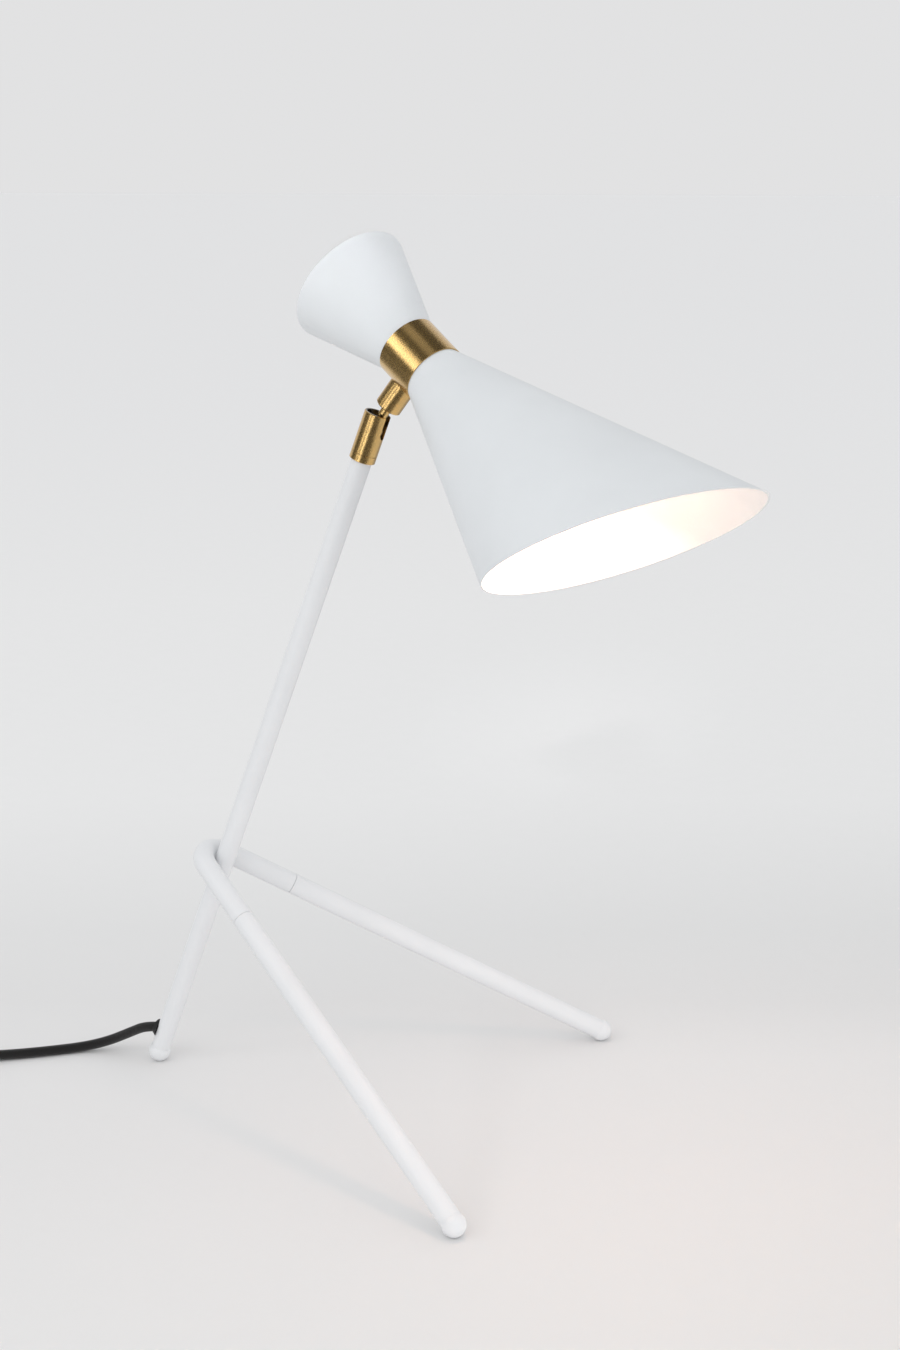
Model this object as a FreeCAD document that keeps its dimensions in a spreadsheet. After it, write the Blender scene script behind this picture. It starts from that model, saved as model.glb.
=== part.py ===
import FreeCAD, Part
import math
import os
import re
import Sketcher
from FreeCAD import Placement, Rotation, Vector

os.makedirs("parts", exist_ok=True)
doc = FreeCAD.newDocument("DeskLamp")

# Driving sizes, in millimetres and degrees, each with its meaning.
SIZES = {
    "rear_reach": (190.0, "rear foot's centre behind the origin"),
    "fit_gap": (0.02, "radial gap of a pressed or screwed fit"),
    "run_gap": (0.05, "radial gap of a fit that turns"),
    "stem_od": (12.0, "stem tube, outside"),
    "stem_wall": (1.2, "stem tube, wall"),
    "stem_reach": (412.0, "rear foot's centre to the stem's top"),
    "stem_lean": (20.7, "stem's lean from upright"),
    "foot_radius": (6.95, "ball foot"),
    "foot_flat": (0.35, "flat worn under each ball foot"),
    "foot_seat": (1.6, "tube's end above the ball's centre"),
    "foot_spigot": (8.0, "foot's plug inside the tube"),
    "leg_od": (12.8, "hairpin and leg tubes, outside"),
    "leg_wall": (1.2, "hairpin and leg tubes, wall"),
    "leg_reach": (228.7, "seam to the front foot's centre"),
    "arm_length": (44.8, "straight arm of the hairpin"),
    "arm_spread": (25.63, "each arm's angle from the middle"),
    "bend_radius": (15.0, "hairpin's bend, middle of the tube"),
    "bend_up_stem": (141.0, "rear foot's centre to the hairpin, along the stem"),
    "weld_gap": (0.3, "between hairpin and stem at the weld"),
    "weld_lug_d": (7.0, "weld lug"),
    "insert_length": (18.0, "threaded insert in an arm"),
    "leg_thread_d": (8.0, "thread between arm and leg"),
    "leg_thread_length": (15.0, "stud's thread in the insert"),
    "seam_gap": (0.25, "shadow gap between arm and leg"),
    "stud_plug_length": (20.0, "stud's plug inside the leg tube"),
    "exit_up_stem": (14.8, "cord exit above the rear foot's centre, along the stem"),
    "exit_drop": (6.0, "cord exit's fall from level"),
    "bushing_flange_d": (11.6, "bushing's flange at the stem"),
    "bushing_tip_d": (8.8, "bushing's flange at its outer face"),
    "bushing_rise": (1.9, "bushing's flange above the stem's back"),
    "bushing_bed": (0.8, "bushing's flange below the stem's back, on each side"),
    "bushing_shank_d": (7.2, "bushing in the stem's wall"),
    "cord_d": (6.2, "fabric cord"),
    "lead_d": (3.4, "lead inside the lamp"),
    "socket_od": (15.2, "swivel ring and housing"),
    "ring_height": (4.5, "swivel ring"),
    "ring_spigot": (4.0, "ring's spigot in the housing"),
    "housing_height": (24.0, "swivel housing"),
    "socket_bore": (12.4, "housing's bore"),
    "socket_edge": (0.3, "chamfer at the swivel's ends"),
    "seam_edge": (0.12, "chamfer at the seam of ring and housing"),
    "ferrule_length": (14.0, "ferrule inside the stem"),
    "nipple_d": (8.0, "ferrule's thread in the ring"),
    "clip_d": (0.9, "retaining clip's wire"),
    "ball_d": (12.0, "swivel ball"),
    "ball_up": (14.0, "ball's centre above the housing's lower face"),
    "lip_d": (10.0, "housing's lip over the ball"),
    "rim_d": (12.6, "housing's mouth at the rim"),
    "slot_clear": (0.5, "slot to neck, each side"),
    "seat_height": (4.2, "pressure seat under the ball"),
    "neck_d": (5.6, "neck of the stud"),
    "neck_thread_d": (6.0, "stud's thread in the ball"),
    "neck_bore": (4.0, "bore of ball and stud"),
    "ball_top": (5.0, "flat of the ball above its centre"),
    "flange_d": (9.4, "stud's flange in the boss"),
    "flange_height": (2.0, "stud's flange"),
    "ball_to_axis": (49.2, "ball's centre to the shade's axis"),
    "ball_to_boss": (15.9, "ball's centre to the boss"),
    "boss_od": (15.2, "boss under the collar"),
    "boss_floor": (3.0, "boss's lower wall"),
    "boss_bore": (10.0, "boss's threaded bore"),
    "boss_edge": (0.7, "chamfer round the boss"),
    "washer_height": (1.3, "spring washer on the stud's flange"),
    "pipe_bore": (6.0, "bore of the hollow nipples"),
    "nut_height": (3.0, "round nuts"),
    "boss_nut_d": (13.0, "nut inside the collar"),
    "head_tilt": (16.1, "neck's tilt beyond the stem"),
    "head_spin": (-18.9, "shade's turn about the neck"),
    "collar_od": (37.0, "waist collar, outside"),
    "collar_wall": (0.7, "waist collar, wall"),
    "collar_length": (25.6, "waist collar"),
    "skirt_length": (4.6, "cone's skirt inside the collar"),
    "cone_wall": (0.9, "shade cones, wall"),
    "cone_angle": (18.7, "shade cones, half angle"),
    "rear_length": (55.2, "rear cone along its axis"),
    "front_under": (115.8, "front cone, collar to mouth, under side"),
    "front_over": (191.5, "front cone, collar to mouth, upper side"),
    "cap_recess": (1.2, "rear disc inside the rear edge"),
    "cap_flange": (6.0, "rear disc's rim"),
    "bracket_width": (12.0, "holder bracket"),
    "bracket_plate": (1.2, "holder bracket, sheet"),
    "holder_od": (26.0, "lamp holder, outside"),
    "holder_wall": (1.6, "lamp holder, wall"),
    "holder_length": (36.0, "lamp holder"),
    "holder_back": (2.5, "lamp holder's rear wall"),
    "holder_nut_d": (14.0, "nut behind the bracket"),
    "core_height": (7.0, "lamp holder's insulating core"),
    "screw_d": (14.3, "bulb's screw cap"),
    "screw_length": (20.0, "bulb's screw cap"),
    "bulb_d": (45.0, "bulb's glass"),
    "bulb_neck": (31.5, "bulb's cap to the middle of the globe"),
    "glass_wall": (0.8, "bulb's glass, wall"),
    "switch_length": (58.0, "cord switch"),
    "switch_width": (25.0, "cord switch"),
    "switch_height": (17.0, "cord switch"),
    "switch_split": (8.0, "cord's axis and the switch's parting line"),
    "switch_wall": (1.6, "cord switch, wall"),
    "switch_corner": (4.0, "cord switch, corners"),
    "rocker_length": (20.4, "rocker"),
    "rocker_width": (11.0, "rocker"),
    "rocker_clear": (0.7, "rocker to its window"),
    "rocker_drop": (3.2, "rocker's pin below the switch's top"),
    "rocker_pin_d": (2.4, "rocker's pin"),
    "rocker_tilt": (5.0, "rocker at rest"),
    "coil_inner": (25.2, "coil's innermost turn"),
    "coil_pitch": (6.65, "between turns and layers of the coil"),
    "coil_turns": (6.51, "turns of the coil, both layers together"),
    "coil_lift": (0.75, "coil above the floor, room for its tie"),
    "tie_width": (9.0, "coil's tie"),
    "tie_thick": (0.6, "coil's tie"),
    "sleeve_length": (22.0, "plug's sleeve"),
    "plug_length": (33.0, "plug's body"),
    "plug_width": (35.0, "plug's body"),
    "plug_height": (14.0, "plug's body"),
    "pin_d": (4.0, "plug's pins"),
    "pin_length": (19.0, "plug's pins outside the body"),
    "pin_spacing": (18.6, "plug's pins"),
}

sheet = doc.addObject("Spreadsheet::Sheet", "Sizes")
for row, (alias, (amount, meaning)) in enumerate(SIZES.items(), start=1):
    sheet.set(f"A{row}", meaning)
    sheet.set(f"B{row}", str(amount))
    sheet.setAlias(f"B{row}", alias)
doc.recompute()

ALIASES = re.compile(r"\b(" + "|".join(SIZES) + r")\b")
FORWARD = Vector(1, 0, 0)
ASIDE = Vector(0, 1, 0)
UP = Vector(0, 0, 1)


def value(text):
    """The number that a size text works out to."""
    return float(sheet.evalExpression(text))


def linked(text):
    """A size text with each name pointing at its cell."""
    return ALIASES.sub(r"Sizes.\1", text)


def origin_item(body, role):
    """One of the body's own origin planes or axes."""
    return next(item for item in body.Origin.OriginFeatures if item.Role == role)


def new_sketch(body, name, plane):
    sketch = body.newObject("Sketcher::SketchObject", name)
    sketch.AttachmentSupport = (origin_item(body, plane), [""])
    sketch.MapMode = "FlatFace"
    return sketch


def pin_point(sketch, item, point, across, up):
    """Hold a sketch point at two size texts from the origin."""
    for kind, axis, text in (("DistanceX", -2, across), ("DistanceY", -1, up)):
        if text == "0":
            sketch.addConstraint(Sketcher.Constraint("PointOnObject", item, point, axis))
        else:
            index = sketch.addConstraint(Sketcher.Constraint(kind, -1, 1, item, point, value(text)))
            sketch.setExpression(f"Constraints[{index}]", linked(text))


def outline_sketch(body, name, plane, corners):
    """A closed outline of straight sides through corners given as pairs of size texts."""
    sketch = new_sketch(body, name, plane)
    points = [Vector(value(across), value(up), 0) for across, up in corners]
    for start, end in zip(points, points[1:] + points[:1]):
        sketch.addGeometry(Part.LineSegment(start, end), False)
    for item, (across, up) in enumerate(corners):
        sketch.addConstraint(Sketcher.Constraint("Coincident", item, 2, (item + 1) % len(corners), 1))
        pin_point(sketch, item, 1, across, up)
    return sketch


def circle_sketch(body, name, plane, circles):
    """Circles given as (across, up, diameter) size texts."""
    sketch = new_sketch(body, name, plane)
    for item, (across, up, diameter) in enumerate(circles):
        centre = Vector(value(across), value(up), 0)
        sketch.addGeometry(Part.Circle(centre, UP, value(diameter) / 2), False)
        pin_point(sketch, item, 3, across, up)
        index = sketch.addConstraint(Sketcher.Constraint("Diameter", item, value(diameter)))
        sketch.setExpression(f"Constraints[{index}]", linked(diameter))
    return sketch


def new_body(label, placement):
    body = doc.addObject("PartDesign::Body", label)
    body.Label = label
    body.Placement = placement
    return body


def turned(label, outline, placement):
    """A turned piece: an outline of (radius, height) size texts about the piece's own Z axis."""
    body = new_body(label, placement)
    turn = body.newObject("PartDesign::Revolution", label + "_turn")
    turn.Profile = outline_sketch(body, label + "_outline", "XZ_Plane", outline)
    turn.ReferenceAxis = (origin_item(body, "Z_Axis"), [""])
    turn.Angle = 360
    body.Tip = turn
    return body


def padded(label, outline, height, placement, plane="XY_Plane", symmetric=False):
    """A flat-sided piece: an outline raised to a height."""
    body = new_body(label, placement)
    pad = body.newObject("PartDesign::Pad", label + "_pad")
    pad.Profile = outline_sketch(body, label + "_outline", plane, outline)
    pad.setExpression("Length", linked(height))
    if symmetric:
        pad.SideType = "Symmetric"
    body.Tip = pad
    return body


def tube(label, outside, wall, length, placement):
    """A round tube along its own Z axis."""
    body = new_body(label, placement)
    pad = body.newObject("PartDesign::Pad", label + "_pad")
    rings = [("0", "0", outside), ("0", "0", f"{outside} - 2 * {wall}")]
    pad.Profile = circle_sketch(body, label + "_section", "XY_Plane", rings)
    pad.setExpression("Length", linked(length))
    body.Tip = pad
    return body


def pocketed(body, sketch, backwards=False, symmetric=False):
    """Cut a sketch through the body, and make sure that it took something off."""
    doc.recompute()
    before = body.Shape.Volume
    pocket = body.newObject("PartDesign::Pocket", sketch.Name + "_cut")
    pocket.Profile = sketch
    if symmetric:
        pocket.SideType = "Symmetric"
    pocket.Type = "ThroughAll"
    pocket.Reversed = backwards
    body.Tip = pocket
    doc.recompute()
    if not body.Shape.Volume < before:
        raise RuntimeError(f"{sketch.Name} cuts nothing")


def primitive(kind, name, placement, **sizes):
    """A Part primitive with its properties bound to size texts."""
    item = doc.addObject("Part::" + kind, name)
    for property_name, text in sizes.items():
        item.setExpression(property_name, linked(text))
    item.Placement = placement
    return item


def cut(label, base, tool):
    item = doc.addObject("Part::Cut", label)
    item.Base = base
    item.Tool = tool
    return item


def common(label, base, tool):
    item = doc.addObject("Part::Common", label)
    item.Base = base
    item.Tool = tool
    return item


def fused(label, pieces):
    item = doc.addObject("Part::MultiFuse", label)
    item.Shapes = pieces
    item.Refine = True
    return item


def grouped(label, pieces):
    """Identical pieces that share one node."""
    item = doc.addObject("Part::Compound", label)
    item.Links = pieces
    return item


def shaped(label, shape):
    """A piece whose shape is worked out in code."""
    item = doc.addObject("Part::Feature", label)
    item.Shape = shape
    return item


def moved(frame, across=0.0, aside=0.0, up=0.0):
    """A frame shifted along its own axes."""
    return frame * Placement(Vector(across, aside, up), Rotation())


def turned_to(point, direction):
    """A frame at a point with its Z axis along a direction."""
    return Placement(point, Rotation(UP, direction))


def rounded_route(points):
    """Straight runs joined by tangent arcs, as edges, with the arcs' radii."""
    edges = []
    radii = []
    start = points[0]
    for before, corner, after in zip(points, points[1:], points[2:]):
        back = before - corner
        ahead = after - corner
        half_turn = (math.pi - back.getAngle(ahead)) / 2
        reach = 0.45 * min(back.Length, ahead.Length)
        radius = reach / math.tan(half_turn)
        back.normalize()
        ahead.normalize()
        middle = back + ahead
        middle.normalize()
        entry = corner + back * reach
        leave = corner + ahead * reach
        crown = corner + middle * (radius / math.cos(half_turn) - radius)
        edges.append(Part.LineSegment(start, entry).toShape())
        edges.append(Part.Arc(entry, crown, leave).toShape())
        radii.append(radius)
        start = leave
    edges.append(Part.LineSegment(start, points[-1]).toShape())
    return edges, radii


def swept(label, edges, diameter):
    """A round tube along joined edges; its volume is compared with section times length."""
    path = Part.Wire(edges)
    first = edges[0]
    start = first.valueAt(first.FirstParameter)
    along = first.tangentAt(first.FirstParameter)
    ring = Part.Wire(Part.Circle(start, along, diameter / 2).toShape())
    shape = path.makePipeShell([ring], True, False)
    expected = math.pi * diameter**2 / 4 * path.Length
    print(f"{label}: length {path.Length:.1f}, volume ratio {shape.Volume / expected:.4f}")
    return shaped(label, shape)


def routed(label, points, diameter):
    edges, radii = rounded_route(points)
    print(f"{label}: arc radii", " ".join(f"{radius:.1f}" for radius in radii))
    return swept(label, edges, diameter)


# Frames. The floor is at height nought and the shade looks forward, along X.
foot_height = value("foot_radius - foot_flat")
stem_turn = Rotation(ASIDE, value("stem_lean"))
stem_frame = Placement(Vector(-value("rear_reach"), 0, foot_height), stem_turn)
socket_frame = moved(stem_frame, up=value("stem_reach"))
tilt_turn = Placement(Vector(), Rotation(ASIDE, value("head_tilt")))
neck_frame = moved(socket_frame, up=value("ring_height + ball_up")) * tilt_turn
head_frame = neck_frame * Placement(Vector(), Rotation(UP, value("head_spin")))
axis_turn = Placement(Vector(), Rotation(ASIDE, 90))
shade_frame = moved(head_frame, up=value("ball_to_axis")) * axis_turn

crossing = moved(stem_frame, up=value("bend_up_stem")).Base
tube_apart = value("leg_od / 2 + stem_od / 2 + weld_gap")
foot_ahead = value("(arm_length + leg_reach) * cos(arm_spread) - bend_radius * sin(arm_spread)")
lean = math.radians(value("stem_lean"))
slope = lean
for _ in range(20):
    # The stem passes the bend's tube at a slant, so it needs a little more room along the middle line.
    bend_to_stem = tube_apart / math.cos(slope - lean)
    stem_in_bend = value("bend_radius") - bend_to_stem
    slope = math.asin((crossing.z - foot_height) / (foot_ahead + stem_in_bend))
bend_turn = Rotation(ASIDE, math.degrees(slope))
bend_frame = Placement(crossing + bend_turn.multVec(FORWARD) * stem_in_bend, bend_turn)


def arm_frame(side):
    """Where the bend meets an arm, with Z down the arm; side is -1 near and 1 far."""
    spread = math.radians(value("arm_spread"))
    radius = value("bend_radius")
    start = Vector(-radius * math.sin(spread), side * radius * math.cos(spread), 0)
    along = Vector(math.cos(spread), side * math.sin(spread), 0)
    return turned_to(bend_frame.multVec(start), bend_turn.multVec(along))


# Base: stem, hairpin, legs and feet.
surface_point = stem_frame.multVec(Vector(-value("stem_od") / 2, 0, value("exit_up_stem")))
drop = math.radians(value("exit_drop"))
exit_way = Vector(-math.cos(drop), 0, -math.sin(drop))
exit_frame = turned_to(surface_point, exit_way)

stem_full = tube("stem_full", "stem_od", "stem_wall", "stem_reach - foot_seat",
                 moved(stem_frame, up=value("foot_seat")))
exit_drill = primitive("Cylinder", "exit_drill", moved(exit_frame, up=-value("stem_od") / 2),
                       Radius="bushing_shank_d / 2 + fit_gap", Height="stem_od")
stem_tube = cut("stem_tube", stem_full, exit_drill)

stem_ferrule = turned("stem_ferrule", [
    ("lead_d / 2 + 0.8", "-ferrule_length"),
    ("stem_od / 2 - stem_wall - fit_gap", "-ferrule_length"),
    ("stem_od / 2 - stem_wall - fit_gap", "0"),
    ("nipple_d / 2 - fit_gap", "0"),
    ("nipple_d / 2 - fit_gap", "ring_height + ring_spigot - 0.5"),
    ("lead_d / 2 + 0.8", "ring_height + ring_spigot - 0.5"),
], socket_frame)


def hairpin_core(name, radius):
    """Bend and both arms at one radius of the tube."""
    bend_start = bend_frame * Placement(Vector(), Rotation(UP, 90 + value("arm_spread")))
    bend = primitive("Torus", name + "_bend", bend_start, Radius1="bend_radius", Radius2=radius,
                     Angle3="180 - 2 * arm_spread")
    arms = [primitive("Cylinder", f"{name}_{word}_arm", arm_frame(side), Radius=radius, Height="arm_length")
            for word, side in (("near", -1), ("far", 1))]
    return fused(name, [bend, *arms])


hairpin_outside = hairpin_core("hairpin_outside", "leg_od / 2")
hairpin_bore = hairpin_core("hairpin_bore", "leg_od / 2 - leg_wall")
hairpin = cut("hairpin", hairpin_outside, hairpin_bore)

lug_start = moved(bend_frame, across=-value("bend_radius")) * axis_turn
lug_rod = primitive("Cylinder", "lug_rod", lug_start, Radius="weld_lug_d / 2",
                    Height="leg_od / 2 + stem_od / 2 + weld_gap")
lug_bend = primitive("Torus", "lug_bend", bend_frame, Radius1="bend_radius", Radius2="leg_od / 2")
lug_stem = primitive("Cylinder", "lug_stem", stem_frame, Radius="stem_od / 2", Height="stem_reach")
weld_lug = cut("weld_lug", lug_rod, fused("lug_room", [lug_bend, lug_stem]))


def foot_cap(label, along, diameter, wall):
    """A ball foot with a flat underneath and a plug up the tube; along is the tube's frame at the ball."""
    ball = primitive("Sphere", label + "_ball", Placement(along.Base, Rotation()), Radius="foot_radius",
                     Angle1="-asin((foot_radius - foot_flat) / foot_radius)")
    room = primitive("Cylinder", label + "_room", moved(along, up=value("foot_seat")),
                     Radius=f"{diameter} / 2 + fit_gap", Height="2 * foot_radius")
    plug = primitive("Cylinder", label + "_plug", along,
                     Radius=f"{diameter} / 2 - {wall} - fit_gap", Height="foot_seat + foot_spigot")
    return fused(label, [cut(label + "_seat", ball, room), plug])


rear_foot = foot_cap("rear_foot", stem_frame, "stem_od", "stem_wall")
leg_tubes = {}
foot_caps = {}
inserts = []
studs = []
for word, side in (("near", -1), ("far", 1)):
    seam = moved(arm_frame(side), up=value("arm_length"))
    leg_tubes[word] = tube(f"{word}_leg_tube", "leg_od", "leg_wall", "leg_reach - seam_gap - foot_seat",
                           moved(seam, up=value("seam_gap")))
    upward = seam.Rotation.multVec(-UP)
    foot_frame = turned_to(moved(seam, up=value("leg_reach")).Base, upward)
    foot_caps[word] = foot_cap(f"{word}_foot", foot_frame, "leg_od", "leg_wall")
    inserts.append(turned(f"{word}_arm_insert", [
        ("leg_thread_d / 2 + fit_gap", "-insert_length"),
        ("leg_od / 2 - leg_wall - fit_gap", "-insert_length"),
        ("leg_od / 2 - leg_wall - fit_gap", "0"),
        ("leg_thread_d / 2 + fit_gap", "0"),
    ], seam))
    studs.append(turned(f"{word}_leg_stud", [
        ("0", "-leg_thread_length"),
        ("leg_thread_d / 2", "-leg_thread_length"),
        ("leg_thread_d / 2", "0"),
        ("leg_od / 2 - leg_wall / 2", "0"),
        ("leg_od / 2 - leg_wall / 2", "seam_gap"),
        ("leg_od / 2 - leg_wall - fit_gap", "seam_gap"),
        ("leg_od / 2 - leg_wall - fit_gap", "seam_gap + stud_plug_length"),
        ("0", "seam_gap + stud_plug_length"),
    ], seam))
arm_inserts = grouped("arm_inserts", inserts)
leg_studs = grouped("leg_studs", studs)

# Cord bushing: a flat flange on the stem's round back, and a shank through the tube's wall.
flange_frame = turned_to(surface_point, stem_turn.multVec(-FORWARD))
flange = primitive("Cone", "bushing_flange", moved(flange_frame, up=-value("bushing_bed")),
                   Radius1="bushing_flange_d / 2", Radius2="bushing_tip_d / 2",
                   Height="bushing_bed + bushing_rise")
stem_room = primitive("Cylinder", "stem_room", stem_frame, Radius="stem_od / 2 + fit_gap",
                      Height="stem_reach")
shank_rod = primitive("Cylinder", "shank_rod", moved(exit_frame, up=-value("stem_wall") * 1.6),
                      Radius="bushing_shank_d / 2", Height="stem_od")
shank_reach = primitive("Cylinder", "shank_reach", moved(flange_frame, up=-value("stem_od") / 2),
                        Radius="stem_od / 2", Height="stem_od / 2 + bushing_rise / 2")
shank = common("bushing_shank", shank_rod, shank_reach)
cord_room = primitive("Cylinder", "cord_room", moved(exit_frame, up=-value("stem_od") / 2),
                      Radius="cord_d / 2 + fit_gap", Height="stem_od + bushing_flange_d / 2")
bushing_seat = cut("bushing_seat", flange, stem_room)
cord_bushing = cut("cord_bushing", fused("bushing_full", [bushing_seat, shank]), cord_room)

inner_end = moved(exit_frame, up=-value("stem_wall") * 1.6).Base
turn_height = value("exit_up_stem + stem_od / 2 * tan(stem_lean + exit_drop)")
turn_point = moved(stem_frame, up=turn_height).Base
stem_lead = routed("stem_lead", [
    inner_end,
    turn_point,
    moved(socket_frame, up=value("ring_height + ball_up - ball_d / 2 - 0.4")).Base,
], value("lead_d"))

# Swivel: ring, clip, housing, disc spring, pressure seat, ball and stud.
socket_ring = turned("socket_ring", [
    ("nipple_d / 2", "fit_gap"),
    ("socket_od / 2 - socket_edge", "fit_gap"),
    ("socket_od / 2", "socket_edge"),
    ("socket_od / 2", "ring_height - seam_edge"),
    ("socket_od / 2 - seam_edge", "ring_height"),
    ("socket_bore / 2 - run_gap", "ring_height"),
    ("socket_bore / 2 - run_gap", "ring_height + ring_spigot / 2 - clip_d"),
    ("socket_bore / 2 - clip_d", "ring_height + ring_spigot / 2 - clip_d"),
    ("socket_bore / 2 - clip_d", "ring_height + ring_spigot / 2 + clip_d"),
    ("socket_bore / 2 - run_gap", "ring_height + ring_spigot / 2 + clip_d"),
    ("socket_bore / 2 - run_gap", "ring_height + ring_spigot"),
    ("nipple_d / 2", "ring_height + ring_spigot"),
], socket_frame)
clip_start = moved(socket_frame, up=value("ring_height + ring_spigot / 2"))
retaining_clip = primitive("Torus", "retaining_clip", clip_start, Radius1="socket_bore / 2 - clip_d / 4",
                           Radius2="clip_d / 2 - 0.05", Angle3="320")

housing_turn = turned("housing_turn", [
    ("socket_bore / 2", "ring_height + run_gap"),
    ("socket_od / 2 - seam_edge", "ring_height + run_gap"),
    ("socket_od / 2", "ring_height + run_gap + seam_edge"),
    ("socket_od / 2", "ring_height + housing_height - socket_edge"),
    ("socket_od / 2 - socket_edge", "ring_height + housing_height"),
    ("rim_d / 2", "ring_height + housing_height"),
    ("lip_d / 2", "ring_height + ball_up + ball_d / 3"),
    ("lip_d / 2", "ring_height + ball_up"),
    ("socket_bore / 2", "ring_height + ball_up"),
    ("socket_bore / 2", "ring_height + ring_spigot / 2 + clip_d"),
    ("socket_bore / 2 + clip_d / 2", "ring_height + ring_spigot / 2 + clip_d"),
    ("socket_bore / 2 + clip_d / 2", "ring_height + ring_spigot / 2 - clip_d"),
    ("socket_bore / 2", "ring_height + ring_spigot / 2 - clip_d"),
], socket_frame)
ball_place = moved(socket_frame, up=value("ring_height + ball_up"))
ball_room = primitive("Sphere", "ball_room", ball_place, Radius="ball_d / 2 + run_gap")
slot_width = "(neck_d / 2 + slot_clear)"
slot_end = primitive("Cylinder", "slot_end", ball_place * axis_turn, Radius=slot_width, Height="socket_od")
slot_side = primitive("Box", "slot_side", moved(ball_place, aside=-value(slot_width)), Length="socket_od",
                      Width=f"2 * {slot_width}", Height="housing_height")
slotted_room = fused("slotted_room", [ball_room, slot_end, slot_side])
socket_housing = cut("socket_housing", housing_turn, slotted_room)

seat_turn = turned("seat_turn", [
    ("lead_d / 2 + 0.6", "ring_height + ball_up - ball_d / 2 - 1.5"),
    ("socket_bore / 2 - run_gap", "ring_height + ball_up - ball_d / 2 - 1.5"),
    ("socket_bore / 2 - run_gap", "ring_height + ball_up - ball_d / 2 - 1.5 + seat_height"),
    ("lead_d / 2 + 0.6", "ring_height + ball_up - ball_d / 2 - 1.5 + seat_height"),
], socket_frame)
seat_ball = primitive("Sphere", "seat_ball", ball_place, Radius="ball_d / 2 + run_gap")
ball_seat = cut("ball_seat", seat_turn, seat_ball)
disc_spring = turned("disc_spring", [
    ("lead_d / 2 + 0.6", "ring_height + ball_up - ball_d / 2 - 1.5 - 0.8"),
    ("socket_bore / 2 - 0.2", "ring_height + ring_spigot + run_gap"),
    ("socket_bore / 2 - 0.2", "ring_height + ring_spigot + run_gap + 0.75"),
    ("lead_d / 2 + 0.6", "ring_height + ball_up - ball_d / 2 - 1.5 - run_gap"),
], socket_frame)

ball_full = primitive("Sphere", "ball_full", neck_frame, Radius="ball_d / 2",
                      Angle2="asin(2 * ball_top / ball_d)")
ball_bore = primitive("Cylinder", "ball_bore", moved(neck_frame, up=-value("ball_d")),
                      Radius="neck_bore / 2", Height="2 * ball_d")
ball_thread = primitive("Cylinder", "ball_thread", neck_frame, Radius="neck_thread_d / 2 + fit_gap",
                        Height="ball_d")
swivel_ball = cut("swivel_ball", ball_full, fused("ball_drill", [ball_bore, ball_thread]))
flange_foot = "(ball_to_boss + boss_floor + run_gap)"
neck_stud = turned("neck_stud", [
    ("neck_bore / 2", "0.1"),
    ("neck_thread_d / 2", "0.1"),
    ("neck_thread_d / 2", "ball_top"),
    ("neck_d / 2", "ball_top"),
    ("neck_d / 2", flange_foot),
    ("flange_d / 2", flange_foot),
    ("flange_d / 2", f"{flange_foot} + flange_height"),
    ("neck_bore / 2", f"{flange_foot} + flange_height"),
], neck_frame)
flange_top = f"({flange_foot} + flange_height)"
neck_lead = turned("neck_lead", [
    ("0", "-ball_d / 2 + 0.4"),
    ("lead_d / 2", "-ball_d / 2 + 0.4"),
    ("lead_d / 2", flange_top),
    ("0", flange_top),
], neck_frame)

# Head: boss, hollow nipple, collar, cones and rear disc.
boss_full = turned("boss_full", [
    ("neck_d / 2 + run_gap", "ball_to_boss"),
    ("boss_od / 2 - boss_edge", "ball_to_boss"),
    ("boss_od / 2", "ball_to_boss + boss_edge"),
    ("boss_od / 2", "ball_to_axis - collar_od / 2 + boss_od / 4"),
    ("boss_bore / 2", "ball_to_axis - collar_od / 2 + boss_od / 4"),
    ("boss_bore / 2", "ball_to_boss + boss_floor"),
    ("neck_d / 2 + run_gap", "ball_to_boss + boss_floor"),
], head_frame)
collar_round = primitive("Cylinder", "collar_round", moved(shade_frame, up=-value("collar_length") / 2),
                         Radius="collar_od / 2 + fit_gap", Height="collar_length")
boss = cut("boss", boss_full, collar_round)

washer_top = f"({flange_top} + run_gap + washer_height)"
spring_washer = turned("spring_washer", [
    ("lead_d / 2 + 0.5", f"{flange_top} + run_gap"),
    ("flange_d / 2", f"{flange_top} + run_gap"),
    ("flange_d / 2", washer_top),
    ("lead_d / 2 + 0.5", washer_top),
], head_frame)

plate_foot = "(ball_to_axis - sqrt((collar_od / 2 - collar_wall)^2 - (bracket_width / 2)^2) + fit_gap)"
plate_top = f"({plate_foot} + bracket_plate)"
boss_nipple = turned("boss_nipple", [
    ("pipe_bore / 2", washer_top),
    ("boss_bore / 2 - fit_gap", washer_top),
    ("boss_bore / 2 - fit_gap", f"{plate_top} + nut_height + 0.6"),
    ("pipe_bore / 2", f"{plate_top} + nut_height + 0.6"),
], head_frame)
boss_nut = turned("boss_nut", [
    ("boss_bore / 2", plate_top),
    ("boss_nut_d / 2", plate_top),
    ("boss_nut_d / 2", f"{plate_top} + nut_height"),
    ("boss_bore / 2", f"{plate_top} + nut_height"),
], head_frame)

waist_collar = tube("waist_collar", "collar_od", "collar_wall", "collar_length",
                    moved(shade_frame, up=-value("collar_length") / 2))
pocketed(waist_collar, circle_sketch(waist_collar, "nipple_hole", "YZ_Plane",
                                     [("0", "collar_length / 2", "boss_bore + 2 * fit_gap")]), backwards=True)

SKIRT = "(collar_od / 2 - collar_wall - fit_gap)"
EDGE = "(collar_length / 2)"
FLARE = "tan(cone_angle)"
SLANT = "(cone_wall / cos(cone_angle))"


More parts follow.
